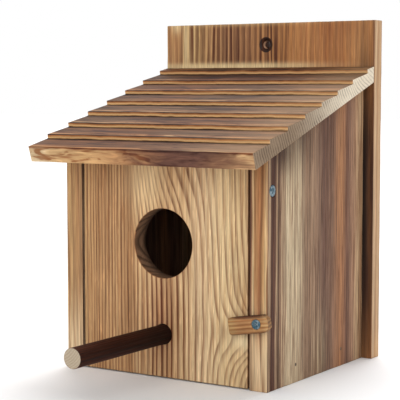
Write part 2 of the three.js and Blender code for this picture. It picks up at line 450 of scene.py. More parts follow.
    def finish(self, colour: object, rough: object, height: object, depth: float) -> bpy.types.Material:
        """Feeds the shader and returns the material.

        Args:
            colour: Base colour.
            rough: Roughness.
            height: Relief, 0 to 1.
            depth: Depth of the relief in millimetres.

        Returns:
            The material.
        """
        self.feed(self.shader.inputs["Base Color"], colour)
        self.feed(self.shader.inputs["Roughness"], rough)
        bump = self.tree.nodes.new("ShaderNodeBump")
        bump.inputs["Strength"].default_value = 1
        bump.inputs["Distance"].default_value = depth * MM
        self.feed(bump.inputs["Height"], height)
        self.feed(self.shader.inputs["Normal"], bump.outputs[0])
        return self.material


# ---- Finishes ---------------------------------------------------------------------------------


@dataclass(frozen=True)
class Swerve:
    """A place where the growth lines swing aside: how far, where, and over what reach."""

    push: float
    across: float
    along: float
    reach_across: float
    reach_along: float
    after: float | None = None


@dataclass(frozen=True)
class Patch:
    """A darker or paler place on a board."""

    colour: Colour
    share: float
    across: float
    along: float
    reach_across: float
    reach_along: float
    only: Vector | None = None
    over: bool = False
    power: float = 2

    def lay(
        self, graph: Graph, place: tuple[object, object], drift: object, colour: object
    ) -> bpy.types.NodeSocket:
        """Lays the patch on a colour.

        Args:
            graph: The material's graph.
            place: The surface's place as (across, along).
            drift: Slow noise that frays the patch.
            colour: The colour below.

        Returns:
            The new colour.
        """
        across, along = place
        near = graph.times(
            graph.bell(across, self.across, self.reach_across, self.power),
            graph.bell(along, self.along, self.reach_along, self.power),
        )
        share = graph.times(near, graph.span(drift, 0.3, 0.58, self.share * 0.7, self.share))
        if self.only is not None:
            share = graph.times(share, graph.span(graph.facing(self.only), 0.4, 0.7))
        return graph.blend("MIX", share, colour, self.colour)


@dataclass(frozen=True)
class Grain:
    """How a board lies in the log: its own axes, and where the log's heart runs."""

    across: Vector
    along: Vector
    origin: Vector
    heart_across: float = -220
    heart_through: float = 60
    pitch: float = 2.4
    wander: float = 3
    seed: float = 0
    wide: tuple[float, float, float] | None = None

    @property
    def through(self) -> Vector:
        """The board's third axis.

        Returns:
            A unit vector.
        """
        return self.across.cross(self.along)

    def lay(self, graph: Graph) -> bpy.types.NodeSocket:
        """Finds a place on the board.

        Args:
            graph: The material's graph.

        Returns:
            The surface's place in millimetres as (across, along, through).
        """
        turn = Matrix((self.across, self.along, self.through))
        at = turn @ self.origin
        made = graph.node("ShaderNodeMapping", graph.place.outputs["Object"], vector_type="POINT")
        made.inputs["Location"].default_value = -at
        made.inputs["Rotation"].default_value = turn.to_euler()
        made.inputs["Scale"].default_value = (1 / MM,) * 3
        return made.outputs[0]


@dataclass(frozen=True)
class FlamedWood:
    """Softwood that was flamed and brushed: pale early wood, dark growth lines, scorched places."""

    name: str
    grain: Grain
    width: float
    bands: tuple[Stop, ...]
    edge_bands: tuple[Stop, ...] = ()
    edge_width: float = 12.5
    edge_spared: float = 0.75
    late: Colour = tone(150, 104, 66)
    line_low: float = 0.35
    line_high: float = 1.0
    line_shape: tuple[tuple[float, float], ...] = (
        (0, 0.12), (0.38, 0.1), (0.74, 0.85), (0.88, 1), (0.97, 0.25), (1, 0.12)
    )
    sway: float = 7
    sway_length: float = 120
    wisp: float = 2
    streak: float = 0.16
    fine_scorch: float = 0.35
    flecks: float = 0.22
    scorch: Colour = tone(96, 60, 40)
    scorch_share: float = 0.5
    scorch_from: float = 0.56
    scorch_width: float = 14
    swerves: tuple[Swerve, ...] = ()
    patches: tuple[Patch, ...] = ()
    end: Colour = shade(196, 168, 128)
    end_line: Colour = shade(120, 86, 58)
    calm: tuple[float, float, float] | None = None
    bold: tuple[float, float, float, float] | None = None
    # Faces that look this way, into the box, are darkened as painted shade inside it.
    inside: Vector | None = None
    inside_shade: float = 0.8
    bore: tuple[float, float, float] | None = None
    bore_bands: tuple[Stop, ...] = ()
    bore_front: float = 6
    bore_depth: float = 12
    bore_ring: float = 0.5
    relief: float = 0.22
    rough_low: float = 0.55
    rough_high: float = 0.8
    specular: float = 0.25

    def growth(self, graph: Graph, where: object) -> bpy.types.NodeSocket:
        """The growth lines.

        Args:
            graph: The material's graph.
            where: Place on the board.

        Returns:
            The line's darkness, 0 to 1.
        """
        grain = self.grain
        parts = graph.node("ShaderNodeSeparateXYZ", where)
        across, along, through = parts.outputs
        slow = graph.streaks(where, (34, 170, 34), 2)
        quick = graph.streaks(where, (6, 80, 6), 2)
        moved = graph.times_plus(slow, grain.wander * 2, across)
        moved = graph.times_plus(quick, grain.pitch * 0.7, moved)
        for swerve in self.swerves:
            near = graph.times(
                graph.bell(across, swerve.across, swerve.reach_across),
                graph.bell(along, swerve.along, swerve.reach_along),
            )
            if swerve.after is not None:
                near = graph.times(near, graph.span(across, swerve.after - 0.4, swerve.after + 0.4))
            moved = graph.times_plus(near, -swerve.push, moved)
        flat = graph.less(moved, grain.heart_across)
        deep = graph.less(through, grain.heart_through)
        ring = graph.length(flat, deep)
        spread = graph.node("ShaderNodeCombineXYZ", graph.times(ring, 1 / 9), grain.seed)
        uneven = graph.clouds(spread.outputs[0], 1)
        turns = graph.times_plus(uneven, 1.6, graph.sum("DIVIDE", ring, grain.pitch))
        if grain.wide is not None:
            start, stop, fewer = grain.wide
            turns = graph.less(turns, graph.span(ring, start, stop, 0, fewer))
        return graph.profile(graph.sum("FRACT", turns), *self.line_shape)

    def weave(self, graph: Graph) -> tuple[object, object, object]:
        """Works out the wood's colour, roughness and relief.

        Args:
            graph: The material's graph.

        Returns:
            Colour, roughness and relief.
        """
        grain = self.grain
        where = grain.lay(graph)
        moved = graph.node("ShaderNodeVectorMath", where, (0, grain.seed * 310, 0), operation="ADD")
        seeded = moved.outputs[0]
        parts = graph.node("ShaderNodeSeparateXYZ", where)
        across, along, through = parts.outputs
        line = self.growth(graph, where if self.swerves else seeded)

        drift = graph.streaks(seeded, (12, self.sway_length, 12), 3)
        wisps = graph.streaks(seeded, (1.1, 48, 1.1), 3, 0.65)
        sway = graph.times_plus(drift, self.sway, graph.less(across, (self.sway + self.wisp) / 2))
        sway = graph.times_plus(wisps, self.wisp, sway)
        colour = graph.ramp(graph.times_plus(sway, 1 / self.width, 0.5), self.bands)
        spared = None
        if self.edge_bands:
            thin_sway = graph.times_plus(drift, 1.4, graph.less(through, 0.7))
            thin = graph.ramp(graph.times_plus(thin_sway, 1 / self.edge_width, 0.5), self.edge_bands)
            side_on = graph.span(graph.sum("ABSOLUTE", graph.facing(grain.across)), 0.55, 0.85)
            colour = graph.blend("MIX", side_on, colour, thin)
            spared = graph.times_plus(side_on, -self.edge_spared, 1.0)

        for patch in self.patches:
            if not patch.over:
                colour = patch.lay(graph, (across, along), drift, colour)

        strength = graph.streaks(seeded, (3.4, 110, 3.4), 3, 0.6)
        share = graph.span(strength, 0.32, 0.62, self.line_low, self.line_high)
        if self.calm is not None:
            start, stop, left = self.calm
            share = graph.times(share, graph.span(across, start, stop, 1, left))
        if self.bold is not None:
            centre_across, centre_along, reach_across, reach_along = self.bold
            near = graph.times(
                graph.bell(across, centre_across, reach_across),
                graph.bell(along, centre_along, reach_along),
            )
            share = graph.times_plus(near, 0.5, share)
        dark = graph.blend("MULTIPLY", 1.0, colour, self.late)
        colour = graph.blend("MIX", graph.times(line, share), colour, dark)

        low = self.scorch_from
        burn = graph.streaks(seeded, (self.scorch_width, 190, self.scorch_width), 3, 0.6, 0.4)
        burnt = graph.times(graph.span(burn, low, low + 0.2), self.scorch_share)
        if spared is not None:
            burnt = graph.times(burnt, spared)
        colour = graph.blend("MIX", burnt, colour, graph.blend("MULTIPLY", 1.0, colour, self.scorch))

        char = graph.streaks(seeded, (1.5, 44, 1.5), 4, 0.7)
        streaked = graph.times(graph.span(char, 0.5, 0.6), self.fine_scorch)
        if spared is not None:
            streaked = graph.times(streaked, spared)
        colour = graph.blend("MIX", streaked, colour, graph.blend("MULTIPLY", 1.0, colour, self.scorch))
        fleck = graph.streaks(seeded, (0.8, 11, 0.8), 2, 0.5)
        colour = graph.gain(colour, graph.span(fleck, 0.58, 0.74, 1.0, 1.0 + self.flecks))

        for patch in self.patches:
            if patch.over:
                colour = patch.lay(graph, (across, along), drift, colour)

        fibre = graph.streaks(seeded, (0.55, 26, 0.55), 4, 0.65)
        colour = graph.gain(colour, graph.span(fibre, 0.25, 0.75, 0.78, 1.2))
        colour = graph.gain(colour, graph.span(wisps, 0.35, 0.65, 1 - self.streak, 1 + self.streak))

        end_on = graph.span(graph.sum("ABSOLUTE", graph.facing(grain.along)), 0.55, 0.85)
        pores = graph.streaks(seeded, (0.4, 0.4, 0.4), 3)
        end = graph.blend("MIX", line, self.end, self.end_line)
        end = graph.gain(end, graph.span(pores, 0.2, 0.8, 0.8, 1.15))
        colour = graph.blend("MIX", end_on, colour, end)

        # Painted shade: faces looking into the box are darkened.
        if self.inside is not None:
            inward = graph.span(graph.facing(self.inside), 0.5, 0.8)
            colour = graph.gain(colour, graph.times_plus(inward, self.inside_shade - 1, 1.0))
        if self.bore is not None:
            centre_across, centre_along, radius = self.bore
            off_across = graph.less(across, centre_across)
            off_along = graph.less(along, centre_along)
            off = graph.length(off_across, off_along)
            in_bore = graph.span(off, radius + self.bore_ring, radius + 0.05)
            depth = graph.less(self.bore_front, through)
            wall = graph.ramp(graph.sum("DIVIDE", depth, self.bore_depth), self.bore_bands)
            wall = graph.gain(wall, graph.times_plus(line, -0.75, 1.15))
            wall = graph.gain(wall, graph.span(fibre, 0.25, 0.75, 0.7, 1.3))
            colour = graph.blend("MIX", in_bore, colour, wall)

        relief = graph.times_plus(fibre, 0.5, graph.times(line, 0.5))
        rough = graph.span(relief, 0.2, 0.8, self.rough_high, self.rough_low)
        return colour, rough, relief

    def material(self) -> bpy.types.Material:
        """Makes the finish.

        Returns:
            The finished material.
        """
        graph = Graph(self.name)
        colour, rough, relief = self.weave(graph)
        graph.shader.inputs["Specular IOR Level"].default_value = self.specular
        return graph.finish(colour, rough, relief, self.relief)


@dataclass(frozen=True)
class SteppedRoofWood(FlamedWood):
    """The roof board's wood: each step has a scorched tread, a dark crest and a golden riser, and painted
    shade at each riser's foot.
    """

    first_riser: float = -7.3
    step_pitch: float = 22.1
    step_height: float = 2.7
    crest: float = 11.3
    lip: float = -27.4
    last_rows: tuple[float, float] = (3.6, 5.0)
    tread: tuple[Stop, ...] = ()
    riser: tuple[Stop, ...] = ()
    lip_bands: tuple[Stop, ...] = ()
    ring_at: tuple[float, float] = (150, 33)

    def along_row(
        self, graph: Graph, along: object, row: object, pattern: tuple[float, float, float]
    ) -> bpy.types.NodeSocket:
        """A place for noise that runs along each row and differs between rows.

        Args:
            graph: The material's graph.
            along: Place along the board, in millimetres.
            row: Number of the row.
            pattern: Length of the features, the hop between rows, and the layer.

        Returns:
            The place.
        """
        length, hop, layer = pattern
        place = (graph.times(along, 1 / length), graph.times(row, hop), layer)
        return graph.node("ShaderNodeCombineXYZ", *place).outputs[0]

    def weave(self, graph: Graph) -> tuple[object, object, object]:
        """Works out the roof's colour, roughness and relief.

        Args:
            graph: The material's graph.

        Returns:
            Colour, roughness and relief.
        """
        where = self.grain.lay(graph)
        parts = graph.node("ShaderNodeSeparateXYZ", where)
        uphill, westward, up = parts.outputs
        along = graph.times(westward, -1.0)
        steps = graph.sum("DIVIDE", graph.less(uphill, self.first_riser), self.step_pitch)
        row = graph.sum("FLOOR", graph.plus(steps, 0.02))
        part = graph.sum("FRACT", graph.plus(steps, 0.02))
        rise = graph.sum("DIVIDE", graph.less(up, self.crest - self.step_height), self.step_height)

        wave = graph.clouds(self.along_row(graph, along, row, (34, 3.7, 0)), 3, 0.6)
        ripple = graph.clouds(self.along_row(graph, along, row, (9, 5.1, 4)), 2)
        broad = graph.clouds(self.along_row(graph, along, row, (90, 9.3, 8)), 1)

        shift = graph.times_plus(wave, 0.16, -0.08)
        # Painted shade: the tread's ramp turns near black at its rear end, in the corner at the foot of the
        # riser above it.
        tread = graph.ramp(graph.plus(part, shift), self.tread)
        streak = graph.streaks(where, (2.6, 52, 2.6), 4, 0.7)
        tread = graph.gain(tread, graph.span(streak, 0.36, 0.64, 0.46, 1.42))
        charred = graph.streaks(where, (6, 38, 6), 3, 0.65, 0.6)
        tread = graph.blend("MULTIPLY", graph.span(charred, 0.5, 0.62), tread, tone(176, 146, 124))
        tread = graph.blend("MULTIPLY", graph.span(broad, 0.4, 0.62), tread, tone(255, 228, 196))

        slip = graph.plus(graph.times_plus(wave, 0.7, -0.35), graph.times_plus(ripple, 0.2, -0.1))
        # Painted shade: the riser's ramp starts dark at its foot, in the corner where it meets the tread; its
        # dark top is the burnt crest.
        riser = graph.ramp(graph.plus(rise, slip), self.riser)
        thread = graph.streaks(where, (0.8, 45, 0.5), 3, 0.6)
        riser = graph.gain(riser, graph.span(thread, 0.25, 0.75, 0.82, 1.16))

        front_on = graph.span(graph.facing(-self.grain.across), 0.35, 0.7)
        colour = graph.blend("MIX", front_on, tread, riser)

        top_rows = graph.span(row, self.last_rows[0], self.last_rows[1])
        patchy = graph.span(wave, 0.36, 0.6, 0.35, 1)
        not_front = graph.less(1.0, graph.times(front_on, 0.75))
        colour = graph.blend(
            "MULTIPLY", graph.times(graph.times(top_rows, patchy), not_front), colour, tone(184, 152, 122)
        )
        right_end = graph.span(along, 25, 78)
        colour = graph.blend("MIX", graph.times(right_end, 0.22), colour, shade(214, 174, 128))

        swirl = graph.streaks(where, (7, 26, 7), 3, 0.55, 0.9)
        swirled = graph.times_plus(swirl, 0.3, -0.15)
        lip_place = graph.plus(graph.times_plus(along, 1 / self.width, 0.5), swirled)
        lip = graph.ramp(lip_place, self.lip_bands)
        flame = graph.streaks(where, (5, 20, 3.6), 2, 0.5, 1.2)
        lip = graph.blend("MULTIPLY", graph.span(flame, 0.48, 0.66, 0, 0.9), lip, tone(178, 132, 94))
        lip = graph.gain(lip, graph.span(flame, 0.28, 0.46, 1.3, 1.0))
        lip = graph.gain(lip, graph.span(streak, 0.36, 0.64, 0.86, 1.12))
        brink = graph.span(graph.times_plus(wave, 2.6, up), 9.8, 11.2)
        lip = graph.blend("MULTIPLY", brink, lip, tone(150, 104, 72))
        on_lip = graph.times(graph.span(uphill, self.lip + 1.4, self.lip + 0.6), front_on)
        colour = graph.blend("MIX", on_lip, colour, lip)

        fibre = graph.streaks(where, (0.5, 24, 0.5), 4, 0.65)
        colour = graph.gain(colour, graph.span(fibre, 0.2, 0.8, 0.86, 1.13))

        flat = graph.less(uphill, self.ring_at[0])
        deep = graph.less(up, self.ring_at[1])
        ring = graph.length(flat, deep)
        ring = graph.times_plus(graph.streaks(where, (14, 60, 14), 2), 4.0, ring)
        turns = graph.sum("FRACT", graph.sum("DIVIDE", ring, self.grain.pitch))
        line = graph.profile(turns, (0, 0.1), (0.5, 0.1), (0.82, 0.9), (0.9, 1), (1, 0.1))
        end_on = graph.span(graph.sum("ABSOLUTE", graph.facing(self.grain.along)), 0.55, 0.85)
        pale = graph.blend("MIX", graph.span(uphill, 15, 105), self.end, shade(246, 234, 212))
        faint = graph.span(graph.streaks(where, (20, 20, 8), 2), 0.35, 0.65, 0.3, 0.85)
        faint = graph.times(faint, graph.span(uphill, 40, 110, 1.2, 0.6))
        end = graph.blend("MIX", graph.times(line, faint), pale, self.end_line)
        pores = graph.streaks(where, (0.45, 0.45, 0.45), 3)
        end = graph.gain(end, graph.span(pores, 0.2, 0.8, 0.82, 1.14))
        colour = graph.blend("MIX", end_on, colour, end)

        under = graph.span(graph.facing(-self.grain.through), 0.5, 0.8)
        plain = graph.gain(shade(196, 158, 112), graph.span(streak, 0.25, 0.75, 0.7, 1.2))
        colour = graph.blend("MIX", under, colour, plain)
        relief = graph.times_plus(fibre, 0.6, graph.times(streak, 0.4))
        rough = graph.span(relief, 0.2, 0.8, self.rough_high, self.rough_low)
        return colour, rough, relief


@dataclass(frozen=True)
class Zinc:
    """Zinc-plated steel with a blue passivation, dulled and finely scratched."""

    name: str
    light: Colour = shade(150, 168, 178)
    dark: Colour = shade(66, 100, 118)
    scratch: float = 1 / 0.35

    def material(self) -> bpy.types.Material:
        """Makes the finish.

        Returns:
            The finished material.
        """
        graph = Graph(self.name)
        where = graph.stretch(graph.place.outputs["Object"], (1 / MM,) * 3)
        bloom = graph.clouds(graph.stretch(where, (1 / 1.6,) * 3), 3)
        rubs = graph.clouds(graph.stretch(where, (self.scratch, self.scratch * 0.15, self.scratch)), 3)
        colour = graph.blend("MIX", graph.span(bloom, 0.35, 0.65), self.dark, self.light)
        colour = graph.gain(colour, graph.span(rubs, 0.25, 0.75, 0.8, 1.15))
        graph.shader.inputs["Metallic"].default_value = 0.85
        return graph.finish(colour, graph.span(rubs, 0.2, 0.8, 0.32, 0.55), rubs, 0.05)


# ---- Shaping ----------------------------------------------------------------------------------


class Blank:
    """A piece of stock being shaped: cut, eased, drilled and weathered with mesh operators."""

    EASED_ANGLE = math.radians(25)

    def __init__(self) -> None:
        """Starts with no stock."""
        self.bm = bmesh.new()

    @classmethod
    def block(cls, low: Vector, high: Vector) -> Blank:
        """A rectangular block.

        Args:
            low: Its lowest corner, in metres.
            high: Its highest corner.

        Returns:
            The block.
        """
        made = cls()
        middle = (low + high) / 2
        size = Matrix.Diagonal((*(high - low), 1))
        bmesh.ops.create_cube(made.bm, size=1, matrix=Matrix.Translation(middle) @ size)
        return made

    def saw(self, point: Vector, way: Vector, drop: bool = False) -> None:
        """Cuts through the piece.

        Args:
            point: A point of the cut.
            way: The cut's normal.
            drop: Whether the part that the normal points to falls off.
        """
        everything = self.bm.verts[:] + self.bm.edges[:] + self.bm.faces[:]
        cut = bmesh.ops.bisect_plane(
            self.bm, geom=everything, dist=1e-7, plane_co=point, plane_no=way, clear_outer=drop
        )
        if drop:
            edges = [part for part in cut["geom_cut"] if isinstance(part, bmesh.types.BMEdge)]
            bmesh.ops.holes_fill(self.bm, edges=edges)
        self.bm.normal_update()

    def mark_out(self, way: Vector, start: float, end: float, pitch: float) -> None:
        """Cuts the piece's faces into strips along one axis, so that its edges can wear unevenly.

        Args:
            way: The axis.
            start: Where the strips start, in metres.
            end: Where they end.
            pitch: Width of a strip.
        """
        count = max(1, round((end - start) / pitch))
        for index in range(1, count):
            self.saw(way * (start + (end - start) * index / count), way)

    def sharp_edges(self) -> list[bmesh.types.BMEdge]:
        """Finds the corners.

        Returns:
            The edges where the piece turns one.
        """
        self.bm.normal_update()
        inner = [e for e in self.bm.edges if len(e.link_faces) == 2]
        return [e for e in inner if e.calc_face_angle(0) > self.EASED_ANGLE]

    def notch(self, pitch: float) -> None:
        """Puts points along the sharp edges, so that they can wear unevenly.

        Args:
            pitch: Distance between the points, in metres.
        """
        for edge in self.sharp_edges():
            cuts = int(edge.calc_length() / pitch)
            if cuts:
                bmesh.ops.subdivide_edges(self.bm, edges=[edge], cuts=cuts)

    def wear(self, most: float, grit: float, seed: float) -> None:
        """Rubs the corners inwards by an uneven amount.

        Args:
            most: Deepest wear, in metres.
            grit: Length over which the wear changes, in metres.
            seed: Moves the pattern.
        """
        worn = {v for e in self.sharp_edges() for v in e.verts}
        moves = {}
        for vert in worn:
            normals = [f.normal for f in vert.link_faces]
            inward = -sum(normals, Vector()).normalized()
            level = 0.5 + 0.5 * noise.noise(vert.co / grit + Vector((seed, 0, 0)))
            moves[vert] = inward * most * max(0.0, min(1.0, level)) ** 2
        for vert, move in moves.items():
            vert.co += move

    def ease(self, radius: float, segments: int = 3, edges: list[bmesh.types.BMEdge] | None = None) -> None:
        """Rounds sharp edges over.

        Args:
            radius: Size of the round, in metres.
            segments: Facets across it.
            edges: The edges, or all the sharp ones.
        """
        chosen = self.sharp_edges() if edges is None else edges
        made = bmesh.ops.bevel(
            self.bm,
            geom=chosen,
            offset=radius,
            offset_type="OFFSET",
            segments=segments,
            profile=0.5,
            affect="EDGES",
            material=-1,
            clamp_overlap=True,
        )
        for face in made["faces"]:
            face.smooth = True

    def cell(self, centre: Vector, way: Vector, half_level: float, half_upright: float) -> None:
        """Frames a cell round a hole to come, by cuts right through the piece.

        Args:
            centre: Centre of the hole.
            way: Way that the hole looks, which is level.
            half_level: Half of the cell's width, in metres.
            half_upright: Half of its height.
        """
        upright = Vector((0, 0, 1))
        level = upright.cross(way)
        for side, half in ((level, half_level), (upright, half_upright)):
            for sign in (-1, 1):
                self.saw(centre + side * half * sign, side)

    def mouth(self, centre: Vector, way: Vector, radius: float, facets: int) -> list[bmesh.types.BMEdge]:
        """Opens a round mouth in the flat cell that holds a point.

        Args:
            centre: Centre of the mouth, on the surface.
            way: Way that the surface faces.
            radius: Radius of the mouth, in metres.
            facets: Sides of the round; a multiple of four.

        Returns:
            The edges of the round.
        """
        self.bm.normal_update()
        facing = [f for f in self.bm.faces if f.normal.dot(way) > 0.99]
        face = min(facing, key=lambda f: (f.calc_center_median() - centre).length)
        frame_edges = list(face.edges)
        bmesh.ops.delete(self.bm, geom=[face], context="FACES_ONLY")
        split = bmesh.ops.subdivide_edges(self.bm, edges=frame_edges, cuts=facets // 4 - 1)
        rim = {part for part in split["geom"] if isinstance(part, bmesh.types.BMEdge)}
        rim = [edge for edge in rim if len(edge.link_faces) == 1]
        turn = way.to_track_quat("Z", "Y").to_matrix().to_4x4()
        ring = bmesh.ops.create_circle(
            self.bm, cap_ends=False, radius=radius, segments=facets, matrix=Matrix.Translation(centre) @ turn
        )
        edges = list({e for v in ring["verts"] for e in v.link_edges})
        bmesh.ops.bridge_loops(self.bm, edges=rim + edges)
        return edges

    def sink(
        self,
        edges: list[bmesh.types.BMEdge],
        centre: Vector,
        way: Vector,
        depth: float,
        scale: float = 1,
        smooth: bool = True,
    ) -> list[bmesh.types.BMEdge]:
        """Carries a ring of edges into the piece.

        Args:
            edges: The ring.
            centre: A point of the hole's axis.
            way: Way out of the hole.
            depth: How far in, in metres.
            scale: Change of the ring's radius.
            smooth: Whether the new wall is round.

        Returns:
            The edges of the new ring.
        """
        grown = bmesh.ops.extrude_edge_only(self.bm, edges=edges)["geom"]
        verts = [part for part in grown if isinstance(part, bmesh.types.BMVert)]
        new_edges = [part for part in grown if isinstance(part, bmesh.types.BMEdge)]
        for part in grown:
            if isinstance(part, bmesh.types.BMFace):
                part.smooth = smooth
        bmesh.ops.translate(self.bm, verts=verts, vec=-way * depth)
        about = Matrix.Translation(-(centre - way * depth))
        bmesh.ops.scale(self.bm, verts=verts, vec=(scale,) * 3, space=about)
        ring = set(verts)
        return [e for e in new_edges if e.verts[0] in ring and e.verts[1] in ring]

    def drill_blind(self, centre: Vector, way: Vector, hole: Hole, depth: float) -> None:
        """Drills a countersunk blind hole.

        Args:
            centre: Centre of the mouth, on the surface.
            way: Way that the surface faces.
            hole: The hole's radii and countersink.
            depth: Depth of the hole, in metres.
        """
        mouth = hole.mouth * MM
        flare = hole.flare * MM
        ring = self.mouth(centre, way, mouth, hole.facets)
        ring = self.sink(ring, centre, way, flare, hole.bore * MM / mouth)
        ring = self.sink(ring, centre - way * flare, way, depth - flare)
        bmesh.ops.holes_fill(self.bm, edges=ring)

    def drill_through(self, near: Vector, far: Vector, hole: Hole) -> None:
        """Drills right through.

        Args:
            near: Centre of the mouth on the near face.
            far: Centre of the mouth on the far face.
            hole: The hole's radii and countersink; its rims are rounded by hole.soft.
        """
        mouth = hole.mouth * MM
        bore = hole.bore * MM
        way = (near - far).normalized()
        first = self.mouth(near, way, mouth, hole.facets)
        last = self.mouth(far, -way, bore, hole.facets)
        inner = self.sink(first, near, way, hole.flare * MM, bore / mouth) if hole.flare else first
        wall = bmesh.ops.bridge_loops(self.bm, edges=inner + last)
        for face in wall["faces"]:
            face.smooth = True
        if hole.soft:
            self.ease(hole.soft * MM, 2, [e for e in first + last if e.is_valid])

    def clean(self) -> None:
        """Merges doubles and turns every face outwards."""
        bmesh.ops.remove_doubles(self.bm, verts=self.bm.verts, dist=1e-6)
        bmesh.ops.recalc_face_normals(self.bm, faces=self.bm.faces)

    def place(
        self, name: str, dressed: bpy.types.Material, body: str, slot: str, stands_for: tuple[str, ...]
    ) -> bpy.types.Object:
        """Makes the finished piece and hangs it on its body.

        Args:
            name: Name of the piece.
            dressed: Its material.
            body: The body that it rides on.
            slot: Not used.
            stands_for: The frame's nodes that it replaces.

        Returns:
            The object.
        """
        self.clean()
        mesh = bpy.data.meshes.new(name)
        self.bm.to_mesh(mesh)
        self.bm.free()
        mesh.materials.append(dressed)
        piece = bpy.data.objects.new(name, mesh)
        bpy.context.scene.collection.objects.link(piece)
        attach(piece, body)
        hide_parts(*stands_for)
        LOG.info("%s: %d faces, rides on %s", name, len(mesh.polygons), body)
        return piece


@dataclass(frozen=True)
class Hole:
    """A round hole's radii at its mouth and further in, and its countersink, in millimetres."""

    mouth: float
    bore: float
    flare: float = 0
    facets: int = 24
    soft: float = 0


def turned(
    profile: list[tuple[float, float]], foot: Vector, way: Vector, facets: int, start: float = 0
) -> Blank:
    """Turns a profile on a lathe.

    Args:
        profile: Points as (distance along the axis, radius), in metres.
        foot: Where the axis starts.
        way: The axis's direction.
        facets: Sides of the round.
        start: Angle at which the facets start.

    Returns:
        The turned stock. Where the profile stops short of the axis it is left open.
    """
    made = Blank()
    side = way.orthogonal().normalized()
    side.rotate(Quaternion(way, start))
    verts = [made.bm.verts.new(foot + way * along + side * radius) for along, radius in profile]
    edges = [made.bm.edges.new(pair) for pair in zip(verts, verts[1:])]
    bmesh.ops.spin(
        made.bm, geom=verts + edges, cent=foot, axis=way, angle=math.tau, steps=facets, use_merge=True
    )
    bmesh.ops.remove_doubles(made.bm, verts=made.bm.verts, dist=1e-7)
    for face in made.bm.faces:
        face.smooth = True
    return made


# ---- Axes and shared slope ---------------------------------------------------------------------

X = Vector((1, 0, 0))
Y = Vector((0, 1, 0))
Z = Vector((0, 0, 1))
ROOF_SLOPE = math.radians(18.2)


# ---- Sub-assemblies ---------------------------------------------------------------------------


